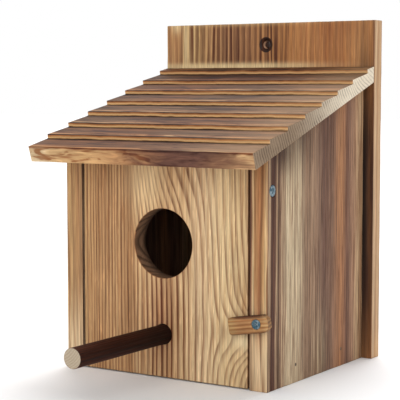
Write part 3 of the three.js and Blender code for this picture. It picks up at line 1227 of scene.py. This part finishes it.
@dataclass
class Carcass:
    """The two side boards, the floor board and the tall back board."""

    roof_pitch: float = ROOF_SLOPE
    front_height: float = 142
    edge_round: float = 0.5
    edge_wear: float = 0.28
    pivot_height: float = 119.8
    pivot_setback: float = 6.1
    brad_height: float = 11.25
    brad_places: tuple[float, ...] = (11.75, 71.95)
    hang_height: float = 209.6
    back_screw_out: float = 68.75
    back_screw_heights: tuple[float, ...] = (28.0, 86.58, 145.16)
    floor_screw_out: float = 30
    screw_hole: Hole = Hole(4.2, 2, 2.2)
    brad_hole: Hole = Hole(1.25, 1, 0.9, 12)
    hang_hole: Hole = Hole(5, 2.8, 1.3, 32)

    def build(self) -> None:
        """Builds the four boards."""
        for side in Side:
            self.build_side(side)
        self.build_floor()
        self.build_back()

    def build_side(self, side: Side) -> None:
        """Builds one side board, its top cut to the roof's slope.

        Args:
            side: Which side.
        """
        node = f"{side.word}_side"
        low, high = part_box(node)
        board = Blank.block(low, high)
        slope = Vector((0, -math.sin(self.roof_pitch), math.cos(self.roof_pitch)))
        board.saw(Vector((0, low.y, self.front_height * MM)), slope, drop=True)
        board.notch(7 * MM)
        board.wear(self.edge_wear * MM, 11 * MM, 3.0 * side.value)
        board.ease(self.edge_round * MM)

        out = X * side.value
        outer, inner = (high.x, low.x) if side is Side.RIGHT else (low.x, high.x)
        pivot = Vector((outer, low.y + self.pivot_setback * MM, self.pivot_height * MM))
        brads = [Vector((outer, place * MM, self.brad_height * MM)) for place in self.brad_places]
        board.cell(pivot, out, 5 * MM, 5 * MM)
        for brad in brads:
            board.cell(brad, out, 3 * MM, 3 * MM)
        through = X * (inner - outer)
        board.drill_through(pivot, pivot + through, self.screw_hole)
        for brad in brads:
            board.drill_through(brad, brad + through, self.brad_hole)
        board.place(f"{node}_board", self.side_wood(side), "box", "side_wood", (node,))

    def side_wood(self, side: Side) -> bpy.types.Material:
        """Wood of a side board: wide scorched stripes down its face.

        Args:
            side: Which side.

        Returns:
            The material.
        """
        face = stops(
            (0.0, 120, 86, 66), (0.02, 206, 180, 148), (0.036, 96, 60, 44), (0.072, 118, 82, 66),
            (0.088, 206, 178, 144), (0.108, 84, 52, 38), (0.128, 186, 156, 126), (0.19, 216, 196, 164),
            (0.3, 216, 196, 164), (0.37, 152, 124, 100), (0.46, 172, 142, 116), (0.56, 118, 88, 74),
            (0.66, 148, 114, 92), (0.75, 188, 136, 96), (0.82, 126, 92, 76), (0.89, 184, 146, 118),
            (0.955, 212, 180, 142), (0.985, 196, 162, 124), (1.0, 120, 84, 64),
        )
        # On the right board the first two stops, dark at the front strip's inner edge, are painted shade from
        # the gap beside the door.
        edge = stops(
            (0.0, 96, 62, 46), (0.1, 140, 100, 72), (0.19, 226, 196, 150), (0.27, 160, 120, 80),
            (0.42, 182, 134, 90), (0.54, 192, 134, 88), (0.64, 160, 118, 76), (0.78, 192, 152, 104),
            (0.9, 216, 184, 138), (1.0, 190, 154, 110),
        )
        if side is Side.LEFT:
            edge = stops(
                (0.0, 192, 156, 110), (0.4, 178, 142, 98), (0.75, 164, 124, 84), (1.0, 190, 154, 110),
            )
        outward = X * side.value
        grain = Grain(
            across=Y,
            along=Z,
            origin=Vector((68.75 * side.value, 39.35, 0)),
            heart_across=-170,
            heart_through=55,
            pitch=2.7 if side is Side.RIGHT else 2.2,
            wander=4,
            seed=1.0 if side is Side.RIGHT else 2.0,
        )
        return FlamedWood(
            name=f"flamed_{side.word}_side",
            grain=grain,
            width=125.2,
            bands=face,
            edge_bands=edge,
            edge_width=12.5,
            late=tone(178, 152, 136),
            scorch=tone(170, 146, 132),
            scorch_share=0.7,
            scorch_from=0.5,
            scorch_width=5,
            sway=3.4,
            sway_length=90,
            wisp=1.6,
            streak=0.2,
            fine_scorch=0.62,
            flecks=0.16,
            calm=(-42, -34, 0.55),
            # The inner face gets painted shade.
            inside=-outward,
            patches=(
                Patch(shade(64, 40, 30), 0.85, -46, 142, 13, 13, outward, over=True),
                Patch(shade(76, 52, 42), 0.75, -22, 156, 17, 21, outward, over=True),
                Patch(shade(120, 86, 70), 0.6, 12, 176, 24, 28, outward),
                Patch(shade(226, 202, 164), 0.9, -62.6, 12, 8, 28, -Y),
                Patch(shade(220, 204, 172), 0.75, -33, 74, 9, 62, outward),
                Patch(shade(206, 186, 150), 0.55, 2, 14, 9, 26, outward),
                Patch(shade(190, 140, 98), 0.5, 30, 128, 5, 46, outward),
                Patch(shade(210, 184, 146), 0.6, 55, 20, 4, 48, outward),
            ),
        ).material()

    def build_floor(self) -> None:
        """Builds the floor board."""
        low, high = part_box("floor_board")
        board = Blank.block(low, high)
        board.notch(9 * MM)
        board.wear(self.edge_wear * MM, 12 * MM, 9.0)
        board.ease(self.edge_round * MM)
        wood = FlamedWood(
            name="flamed_floor",
            grain=Grain(Y, X, Vector((0, 46.05, 11.25)), heart_across=30, heart_through=-40, pitch=3, seed=3),
            width=112,
            bands=stops((0.0, 182, 142, 98), (0.4, 196, 158, 110), (0.7, 170, 130, 88), (1.0, 182, 142, 98)),
        )
        board.place("floor_panel", wood.material(), "box", "floor_wood", ("floor_board",))

    def build_back(self) -> None:
        """Builds the back board with its hanging hole and screw holes."""
        low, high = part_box("back_board")
        board = Blank.block(low, high)
        board.notch(7 * MM)
        board.wear(self.edge_wear * MM, 11 * MM, 21.0)
        board.ease(self.edge_round * MM)
        hang = Vector((0, low.y, self.hang_height * MM))
        through = Y * (high.y - low.y)
        rear = [
            Vector((side.value * self.back_screw_out * MM, high.y, height * MM))
            for side in Side
            for height in self.back_screw_heights
        ]
        for side in Side:
            rear.append(Vector((side.value * self.floor_screw_out * MM, high.y, self.brad_height * MM)))
        board.cell(hang, -Y, 7 * MM, 7 * MM)
        for screw in rear:
            board.cell(screw, Y, 5 * MM, 5 * MM)
        board.drill_through(hang, hang + through, self.hang_hole)
        for screw in rear:
            board.drill_through(screw, screw - through, self.screw_hole)
        board.place("back_panel", self.back_wood(), "box", "back_wood", ("back_board",))

    def back_wood(self) -> bpy.types.Material:
        """Wood of the back board: dark flamed stripes between pale lines, smoother to the right.

        Returns:
            The material.
        """
        bands = stops(
            (0.0, 206, 172, 124), (0.06, 188, 148, 100), (0.1, 208, 178, 130), (0.16, 190, 154, 104),
            (0.22, 186, 144, 98), (0.3, 172, 128, 88), (0.42, 166, 120, 80), (0.5, 176, 128, 82),
            (0.58, 174, 122, 74), (0.72, 180, 126, 78), (0.84, 166, 112, 68), (0.92, 182, 132, 84),
            (1.0, 160, 110, 66),
        )
        return FlamedWood(
            name="flamed_back",
            grain=Grain(
                X, Z, Vector((0, 107.75, 0)), heart_across=-260, heart_through=30, pitch=4.6, wander=4, seed=4
            ),
            width=164.5,
            bands=bands,
            edge_bands=stops(
                (0.0, 198, 150, 106), (0.3, 224, 190, 148), (0.5, 196, 150, 108), (0.75, 226, 194, 154),
                (1.0, 196, 156, 118),
            ),
            edge_width=11,
            late=tone(124, 86, 60),
            line_shape=((0, 0.0), (0.16, 0.0), (0.27, 0.7), (0.5, 1), (0.8, 1), (0.92, 0.2), (1, 0)),
            line_low=0.45,
            calm=(10, 22, 0.22),
            scorch=tone(206, 170, 140),
            scorch_share=0.6,
            patches=(
                Patch(shade(170, 122, 78), 0.9, -76, 212, 8, 30, -Y, over=True),
                Patch(shade(226, 200, 152), 0.95, -34, 194, 74, 3.4, -Y, over=True, power=3),
                Patch(shade(214, 182, 132), 0.6, -20, 225, 60, 2, -Y, over=True),
                Patch(shade(222, 196, 148), 0.85, -66, 210, 1.8, 26, -Y, over=True),
                Patch(shade(226, 200, 152), 0.85, -74, 224, 4, 5, -Y, over=True),
                Patch(shade(146, 94, 56), 0.7, 58, 222, 14, 8, -Y),
                # Painted shade: the front face's strips beside each side board, under the roof, with a near
                # black band against the right board.
                Patch(shade(48, 25, 18), 0.96, 84, 88, 14, 96, -Y, over=True, power=4),
                Patch(shade(48, 25, 18), 0.96, -84, 88, 14, 96, -Y, over=True, power=4),
                Patch(shade(14, 9, 7), 0.92, 74.4, 108, 3.6, 92, -Y, over=True, power=3),
                Patch(shade(84, 50, 32), 0.8, 82.2, 208, 0.9, 30, -Y, over=True),
            ),
            bore=(0, self.hang_height, 4.9),
            # The bore's deeper half is painted dark as shade inside the hanging hole; the dark stops at its
            # mouth are the burnt countersink.
            bore_bands=stops(
                (0.0, 58, 28, 12), (0.11, 66, 34, 16), (0.17, 180, 140, 112), (0.34, 196, 156, 126),
                (0.46, 84, 48, 26), (1.0, 60, 30, 14),
            ),
            bore_front=5.5,
            bore_depth=11,
            bore_ring=0.7,
        ).material()


@dataclass
class SteppedRoof:
    """The roof board, stepped like lapped boards and tilted to the front."""

    pitch: float = ROOF_SLOPE
    datum: float = 142.3
    half_width: float = 82.25
    front: float = -23.25
    depth: float = 125.2
    lip: float = 27.4
    lip_height: float = 10.4
    first_riser: float = -7.3
    step_pitch: float = 22.1
    step_height: float = 2.7
    crest: float = 11.3
    risers: int = 7
    crest_wear: float = 0.35

    def profile(self) -> list[tuple[float, float]]:
        """The board's outline, from the rear underside round to the rear top.

        Returns:
            Its corners as (uphill, up), in millimetres.
        """
        fall = self.step_height / self.step_pitch
        tangent = math.tan(self.pitch)
        rear = self.depth / math.cos(self.pitch)
        outline = [(rear, 0.0), (-self.lip, 0.0), (-self.lip, self.lip_height)]
        for index in range(self.risers):
            riser = self.first_riser + index * self.step_pitch
            outline.append((riser - self.step_height * fall, self.crest - self.step_height))
            outline.append((riser, self.crest))
        last = outline[-1][0]
        top = (self.crest - (rear - last) * fall) / (1 + tangent * fall)
        outline.append((rear + top * tangent, top))
        return outline

    def build(self) -> None:
        """Builds the roof board."""
        board = Blank()
        corners = [board.bm.verts.new((-self.half_width * MM, u * MM, v * MM)) for u, v in self.profile()]
        end = board.bm.faces.new(corners)
        grown = bmesh.ops.extrude_face_region(board.bm, geom=[end])["geom"]
        moved = [part for part in grown if isinstance(part, bmesh.types.BMVert)]
        bmesh.ops.translate(board.bm, verts=moved, vec=X * (2 * self.half_width * MM))
        bmesh.ops.recalc_face_normals(board.bm, faces=board.bm.faces)
        board.mark_out(X, -self.half_width * MM, self.half_width * MM, 3.2 * MM)
        board.wear(self.crest_wear * MM, 8 * MM, 5.0)
        board.ease(0.35 * MM, 2)
        turn = Matrix.Rotation(self.pitch, 4, "X")
        seat = Matrix.Translation(Vector((0, self.front, self.datum)) * MM)
        bmesh.ops.transform(board.bm, matrix=seat @ turn, verts=board.bm.verts)
        board.place("stepped_roof", self.wood(), "box", "roof_wood", ("roof_board",))

    def wood(self) -> bpy.types.Material:
        """Wood of the roof board.

        Returns:
            The material.
        """
        uphill = Vector((0, math.cos(self.pitch), math.sin(self.pitch)))
        return SteppedRoofWood(
            name="flamed_roof",
            grain=Grain(uphill, -X, Vector((0, self.front, self.datum)), pitch=2.5, seed=5),
            width=2 * self.half_width,
            bands=(),
            # The last stops are painted shade where each tread runs into the foot of the next riser.
            tread=stops(
                (0.0, 62, 38, 24), (0.07, 90, 60, 40), (0.15, 178, 140, 98), (0.27, 120, 84, 54),
                (0.5, 98, 68, 44), (0.76, 110, 76, 48), (0.88, 88, 58, 40), (0.95, 48, 28, 18),
                (1.0, 36, 20, 14),
            ),
            # The first stop is painted shade at the riser's foot; the last ones are its burnt crest.
            riser=stops(
                (0.0, 74, 46, 30), (0.1, 212, 164, 108), (0.36, 232, 190, 134), (0.52, 192, 134, 82),
                (0.78, 156, 100, 60), (0.9, 76, 46, 30), (1.0, 52, 32, 22),
            ),
            lip_bands=stops(
                (0.0, 206, 182, 146), (0.1, 190, 156, 112), (0.3, 192, 152, 104), (0.42, 172, 128, 86),
                (0.52, 124, 84, 58), (0.6, 94, 60, 46), (0.74, 90, 58, 46), (0.86, 116, 80, 58),
                (0.94, 150, 112, 80), (1.0, 196, 158, 114),
            ),
            end=shade(154, 132, 108),
            end_line=shade(84, 64, 50),
            relief=0.16,
        ).material()


@dataclass
class FrontDoor:
    """The front that swings up, with its entrance hole and the perch."""

    entrance_height: float = 84.4
    entrance_radius: float = 21.7
    perch_height: float = 27.8
    perch_radius: float = 6.2
    perch_seat: float = 6.5
    perch_chamfer: float = 0.6
    pivot_height: float = 119.8
    pivot_line: float = -17.15
    pin_hole: Hole = Hole(2.2, 2.05, 0.4)
    pin_depth: float = 23

    def build(self) -> None:
        """Builds the door and the perch."""
        self.build_panel()
        self.build_perch()

    def build_panel(self) -> None:
        """Builds the door panel."""
        low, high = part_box("front_door")
        board = Blank.block(low, high)
        board.notch(7 * MM)
        board.wear(0.25 * MM, 12 * MM, 14.0)
        board.ease(0.5 * MM)
        entrance = Vector((0, low.y, self.entrance_height * MM))
        perch = Vector((0, low.y, self.perch_height * MM))
        board.cell(entrance, -Y, 26 * MM, 24.5 * MM)
        board.cell(perch, -Y, 26 * MM, 10 * MM)
        pins = []
        for side in Side:
            face = high.x if side is Side.RIGHT else low.x
            pins.append((side, Vector((face, self.pivot_line * MM, self.pivot_height * MM))))
        board.cell(pins[0][1], X, 4 * MM, 4 * MM)
        through = Y * (high.y - low.y)
        doorway = Hole(self.entrance_radius, self.entrance_radius, facets=96, soft=0.3)
        board.drill_through(entrance, entrance + through, doorway)
        seat = Hole(self.perch_seat, self.perch_seat, facets=48, soft=0.25)
        board.drill_through(perch, perch + through, seat)
        for side, pin in pins:
            board.drill_blind(pin, X * side.value, self.pin_hole, self.pin_depth * MM)
        board.place("door_panel", self.wood(), "door", "door_wood", ("front_door",))

    def wood(self) -> bpy.types.Material:
        """Wood of the door: fine lines to the left, broad ones sweeping past the hole to the right.

        Returns:
            The material.
        """
        bands = stops(
            (0.0, 198, 160, 112), (0.1, 184, 142, 98), (0.2, 200, 160, 114), (0.3, 174, 132, 90),
            (0.34, 218, 184, 138), (0.44, 220, 188, 142), (0.54, 206, 170, 126), (0.62, 216, 184, 140),
            (0.72, 226, 198, 158), (0.86, 222, 196, 152), (1.0, 208, 178, 134),
        )
        return FlamedWood(
            name="flamed_door",
            grain=Grain(
                X,
                Z,
                Vector((0, -16.5, 0)),
                heart_across=92,
                heart_through=34,
                pitch=2.4,
                wander=1.4,
                seed=6,
                wide=(35, 122, 10),
            ),
            width=122.4,
            bands=bands,
            edge_bands=stops((0.0, 168, 126, 88), (1.0, 150, 110, 78)),
            late=tone(126, 82, 52),
            line_low=0.45,
            line_high=0.95,
            calm=(8, 34, 0.8),
            bold=(2, 34, 16, 34),
            scorch=tone(206, 172, 140),
            scorch_share=0.6,
            fine_scorch=0.45,
            flecks=0.34,
            wisp=1,
            streak=0.12,
            swerves=(
                Swerve(14, 62, 32, 21, 17),
                Swerve(4, 64, 60, 22, 30),
                Swerve(-17, 3, 146, 26, 40, after=-24),
            ),
            patches=(
                Patch(shade(228, 208, 168), 0.75, 58, 29, 8, 5, -Y, over=True),
                Patch(shade(178, 126, 86), 0.7, -4, 34, 13, 36, -Y),
                Patch(shade(232, 208, 164), 0.5, -14, 124, 12, 22, -Y, over=True),
            ),
            # The back face, inside the box, gets painted shade.
            inside=Y,
            bore=(0, self.entrance_height, self.entrance_radius),
            bore_bands=stops(
                (0.0, 176, 128, 88), (0.08, 126, 92, 68), (0.5, 138, 106, 82), (1.0, 92, 68, 52),
            ),
            bore_front=6.25,
            bore_depth=12.5,
        ).material()

    def build_perch(self) -> None:
        """Builds the perch, a dark dowel cut off pale."""
        low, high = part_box("perch_dowel")
        axis = (low + high) / 2
        foot = Vector((axis.x, high.y, axis.z))
        length = high.y - low.y
        radius = self.perch_radius * MM
        chamfer = self.perch_chamfer * MM
        profile = [(0.0, 0.0), (0.0, radius * 0.5), (0.0, radius - chamfer), (chamfer, radius)]
        stations = 24
        for index in range(1, stations):
            along = chamfer + (length - 2 * chamfer) * index / stations
            profile.append((along, radius))
        for index in range(5):
            bend = math.pi / 2 * index / 4
            profile.append((length - chamfer * (1 - math.sin(bend)), radius - chamfer * (1 - math.cos(bend))))
        profile += [(length, radius * 0.5), (length, 0.0)]
        dowel = turned(profile, foot, -Y, 48)
        for vert in dowel.bm.verts:
            spoke = Vector((vert.co.x - foot.x, 0, vert.co.z - foot.z))
            level = 0.5 + 0.5 * noise.noise(Vector((vert.co.x * 90, vert.co.y * 45, vert.co.z * 90)))
            if spoke.length > radius * 0.8:
                vert.co -= spoke.normalized() * 0.12 * MM * level
        wood = FlamedWood(
            name="flamed_perch",
            grain=Grain(
                X, Y, Vector((0, -60, 27.8)), heart_across=-9, heart_through=12, pitch=1.5, wander=0.6, seed=7
            ),
            width=13,
            bands=stops((0.0, 60, 28, 16), (0.5, 72, 34, 20), (1.0, 50, 22, 12)),
            specular=0.12,
            late=tone(170, 150, 136),
            scorch=tone(160, 136, 124),
            scorch_share=0.8,
            scorch_width=5,
            patches=(
                Patch(shade(28, 14, 10), 0.7, 0, 30, 40, 26),
                Patch(shade(88, 50, 34), 0.45, -2, -48, 8, 16),
            ),
            end=shade(186, 172, 152),
            end_line=shade(170, 154, 132),
            rough_low=0.55,
            rough_high=0.75,
        )
        dowel.place("perch", wood.material(), "door", "perch_wood", ("perch_dowel",))


@dataclass
class TurnButton:
    """The wooden button that turns on its screw and holds the door shut."""

    screw_at: tuple[float, float] = (69.8, 41.3)
    reach: float = 19.2
    tail: float = 8.5
    point: float = 3.3
    width: float = 10.7
    corner: float = 2.0
    tilt: float = math.radians(9.4)
    front: float = -28.05
    back: float = -23.55
    screw_hole: Hole = Hole(3.7, 1.9, 1.9)

    def build(self) -> None:
        """Builds the button."""
        half = self.width / 2
        low = Vector((-self.reach, self.front, -half)) * MM
        high = Vector((self.tail, self.back, half)) * MM
        plate = Blank.block(low, high)
        for sign in (-1, 1):
            shoulder = Vector(((self.tail - self.point), 0, sign * half)) * MM
            way = Vector((half * 0.5, 0, sign * self.point)).normalized()
            plate.saw(shoulder, way, drop=True)
        ends = [
            e
            for e in plate.sharp_edges()
            if abs((e.verts[0].co - e.verts[1].co).normalized().y) > 0.9 and e.verts[0].co.x < low.x * 0.9
        ]
        plate.ease(self.corner * MM, 5, ends)
        plate.notch(3 * MM)
        plate.wear(0.2 * MM, 4 * MM, 2.0)
        plate.ease(0.4 * MM, 3)
        near = Vector((0, self.front, 0)) * MM
        plate.cell(near, -Y, 4.4 * MM, 4.4 * MM)
        plate.drill_through(near, Vector((0, self.back, 0)) * MM, self.screw_hole)
        at = Matrix.Translation(Vector((self.screw_at[0], 0, self.screw_at[1])) * MM)
        turn = Matrix.Rotation(-self.tilt, 4, "Y")
        bmesh.ops.transform(plate.bm, matrix=at @ turn, verts=plate.bm.verts)
        plate.place("turn_button", self.wood(), "latch", "latch_wood", ("latch_button",))

    def wood(self) -> bpy.types.Material:
        """Wood of the button: a short dark piece with pale ends.

        Returns:
            The material.
        """
        along = Vector((math.cos(self.tilt), 0, math.sin(self.tilt)))
        across = Vector((-math.sin(self.tilt), 0, math.cos(self.tilt)))
        middle = Vector((self.screw_at[0], -25.8, self.screw_at[1]))
        return FlamedWood(
            name="flamed_button",
            grain=Grain(
                across, along, middle, heart_across=-30, heart_through=8, pitch=2.1, wander=1, seed=8
            ),
            width=11,
            bands=stops(
                (0.0, 96, 62, 38), (0.14, 168, 126, 82), (0.4, 184, 142, 94), (0.8, 176, 134, 90),
                (0.92, 104, 68, 42), (1.0, 80, 50, 32),
            ),
            sway=1.2,
            wisp=0.6,
            sway_length=30,
            late=tone(222, 192, 162),
            scorch_share=0.3,
            scorch_width=6,
            fine_scorch=0.15,
            patches=(
                Patch(shade(178, 148, 100), 0.7, 0, -17, 9, 3.2),
                Patch(shade(206, 172, 124), 0.6, 0, 7.5, 9, 2.4),
                Patch(shade(150, 98, 62), 0.4, 0, -8, 4.5, 6),
            ),
            end=shade(166, 128, 88),
            end_line=shade(112, 78, 52),
        ).material()


@dataclass
class Screw:
    """A countersunk wood screw with a cross recess and a ridged shank."""

    node: str
    body: str
    heading: Heading
    shank: float
    turned_by: float
    pitch: float = 1.6
    tip: float = 6
    recess_depth: float = 0.5
    cross_length: float = 0.5
    cross_width: float = 0.13

    def build(self, steel: bpy.types.Material) -> None:
        """Builds the screw in its node's place.

        Args:
            steel: Its material.
        """
        low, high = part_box(self.node)
        out = self.heading.vector
        middle = (low + high) / 2
        half = abs((high - low).dot(out)) / 2
        length = 2 * half / MM
        head = max(abs(value) for value in (high - low) - out * (high - low).dot(out)) / 2 / MM
        foot = middle - out * half
        core = self.shank / 2 * 0.72
        crest = self.shank / 2
        cone = head - crest
        profile = [(0.0, 0.0)]
        along = self.pitch
        while along < length * 0.66:
            share = min(1.0, along / self.tip)
            profile += [(along, core * share), (along + self.pitch * 0.42, crest * min(1.0, share + 0.12))]
            along += self.pitch
        profile += [(along, crest * 0.92), (length - 0.45 - cone, crest * 0.92), (length - 0.45, head * 0.97)]
        profile += [(length - 0.3, head), (length - 0.15, head), (length - 0.04, head * 0.94)]
        profile += [(length, head * 0.8), (length, head * 0.7)]
        blank = turned([(a * MM, r * MM) for a, r in profile], foot, out, 24, self.turned_by)
        self.recess(blank, middle + out * half, out, head * MM)
        blank.place(f"{self.node}_steel", steel, self.body, "zinc", (self.node,))

    def recess(self, blank: Blank, top: Vector, out: Vector, head: float) -> None:
        """Sinks the cross recess into the head's open top.

        Args:
            blank: The turned screw.
            top: Centre of the head's top.
            out: Way that the head looks.
            head: Radius of the head, in metres.
        """
        start = out.orthogonal().normalized()
        start.rotate(Quaternion(out, self.turned_by))
        side = out.cross(start)
        rim = [e for e in blank.bm.edges if len(e.link_faces) == 1]
        ring = blank.sink(rim, top, out, 0, smooth=False)
        for vert in {v for e in ring for v in e.verts}:
            spoke = vert.co - top
            off = abs(math.remainder(math.atan2(spoke.dot(side), spoke.dot(start)), math.pi / 2))
            reach = min(self.cross_length / math.cos(off), self.cross_width / max(math.sin(off), 0.01))
            vert.co = top + spoke.normalized() * head * reach
        depth = self.recess_depth * MM
        ring = blank.sink(ring, top, out, depth, 0.7, smooth=False)
        ring = blank.sink(ring, top - out * depth, out, 0, smooth=False)
        tip = top - out * depth * 1.5
        bmesh.ops.pointmerge(blank.bm, verts=list({v for e in ring for v in e.verts}), merge_co=tip)


@dataclass
class Fixings:
    """All the screws, and the finish of the sunk brads."""

    screws: list[Screw] = field(default_factory=list)

    def plan(self) -> None:
        """Lists the screws by their places."""
        for side in Side:
            heading = Heading.RIGHT if side is Side.RIGHT else Heading.LEFT
            self.screws.append(Screw(f"pivot_screw_{side.word}", "door", heading, 3.5, 0.5 * side.value))
            for count in (1, 2, 3):
                name = f"back_screw_{side.word}_{count}"
                self.screws.append(Screw(name, "box", Heading.REAR, 3.5, count * 0.4))
            self.screws.append(Screw(f"floor_screw_{side.word}", "box", Heading.REAR, 3.5, 0.9 * side.value))
        self.screws.append(Screw("latch_screw", "box", Heading.FRONT, 3.0, 0.25, pitch=1.3, tip=5))

    def build(self, nodes: dict[str, bpy.types.Object]) -> None:
        """Builds the screws and dresses the brads.

        Args:
            nodes: The frame's nodes by name.
        """
        self.plan()
        steel = Zinc("blued_zinc").material()
        dull = Zinc("dulled_brad", light=shade(120, 104, 88), dark=shade(70, 54, 42)).material()
        for screw in self.screws:
            screw.build(steel)
        for name, node in nodes.items():
            if "brad" in name:
                node.data.materials.clear()
                node.data.materials.append(dull)
                LOG.info("%s: carried from the frame", name)


# ---- Studio -----------------------------------------------------------------------------------


@dataclass(frozen=True)
class Lamp:
    """A broad, soft lamp far away: its strength, the way to it, and how wide it looks."""

    name: str
    strength: float
    towards: tuple[float, float, float]
    width: float

    def hang(self) -> None:
        """Adds the lamp to the scene."""
        light = bpy.data.lights.new(self.name, "SUN")
        light.energy = self.strength
        light.angle = self.width
        lamp = bpy.data.objects.new(self.name, light)
        lamp.rotation_euler = Vector(self.towards).to_track_quat("Z", "Y").to_euler()
        bpy.context.scene.collection.objects.link(lamp)


@dataclass
class Studio:
    """A plain pale floor, soft light and the camera."""

    lens: float = 121.5
    azimuth: float = math.radians(33.08)
    elevation: float = math.radians(4.79)
    place: tuple[float, float, float] = (0.47117, -0.70406, 0.18076)
    floor_half: float = 6.0
    sky: float = 0.6
    backdrop: float = 1.0
    lamps: tuple[Lamp, ...] = (
        Lamp("front_light", 1.6, (0.28, -0.9, 0.34), math.radians(60)),
        Lamp("top_light", 2.3, (-0.16, 0.5, 0.85), math.radians(36)),
    )

    def build(self) -> None:
        """Sets up the floor, the lights and the camera."""
        self.build_floor()
        self.light()
        self.frame_view()

    def build_floor(self) -> None:
        """Lays the floor."""
        bm = bmesh.new()
        bmesh.ops.create_grid(bm, x_segments=8, y_segments=8, size=self.floor_half)
        mesh = bpy.data.meshes.new("studio_floor")
        bm.to_mesh(mesh)
        bm.free()
        graph = Graph("pale_floor")
        cloud = graph.clouds(graph.stretch(graph.place.outputs["Object"], (3, 3, 3)), 2)
        paper = graph.ramp(cloud, ((0.3, (0.9, 0.9, 0.91)), (0.7, (0.92, 0.92, 0.92))))
        graph.shader.inputs["Specular IOR Level"].default_value = 0.0
        mesh.materials.append(graph.finish(paper, graph.span(cloud, 0.3, 0.7, 0.9, 0.95), cloud, 0.01))
        floor = bpy.data.objects.new("studio_floor", mesh)
        bpy.context.scene.collection.objects.link(floor)

    def light(self) -> None:
        """Sets the white surround and hangs the lamps."""
        scene = bpy.context.scene
        world = bpy.data.worlds.new("studio_surround")
        world.use_nodes = True
        tree = world.node_tree
        surround = tree.nodes["Background"]
        surround.inputs["Color"].default_value = (1, 1, 1, 1)
        seen = tree.nodes.new("ShaderNodeLightPath")
        strength = tree.nodes.new("ShaderNodeMapRange")
        strength.inputs["To Min"].default_value = self.sky
        strength.inputs["To Max"].default_value = self.backdrop
        tree.links.new(seen.outputs["Is Camera Ray"], strength.inputs["Value"])
        tree.links.new(strength.outputs[0], surround.inputs["Strength"])
        scene.world = world
        for lamp in self.lamps:
            lamp.hang()
        scene.view_settings.view_transform = "Standard"
        scene.view_settings.look = "None"

    def frame_view(self) -> None:
        """Places the camera."""
        lens = bpy.data.cameras.new("camera")
        lens.lens = self.lens
        lens.sensor_width = 36
        camera = bpy.data.objects.new("camera", lens)
        camera.location = self.place
        camera.rotation_euler = Euler((math.pi / 2 - self.elevation, 0, self.azimuth))
        bpy.context.scene.collection.objects.link(camera)
        bpy.context.scene.camera = camera


def main() -> None:
    """Builds the nest box round the frame, then the studio."""
    logging.basicConfig(level=logging.INFO, format="%(name)s: %(message)s")
    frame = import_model()
    bpy.context.view_layer.update()
    Studio().build()
    Carcass().build()
    SteppedRoof().build()
    FrontDoor().build()
    TurnButton().build()
    Fixings().build(frame["nodes"])
    bpy.context.view_layer.update()


if __name__ == "__main__":
    main()
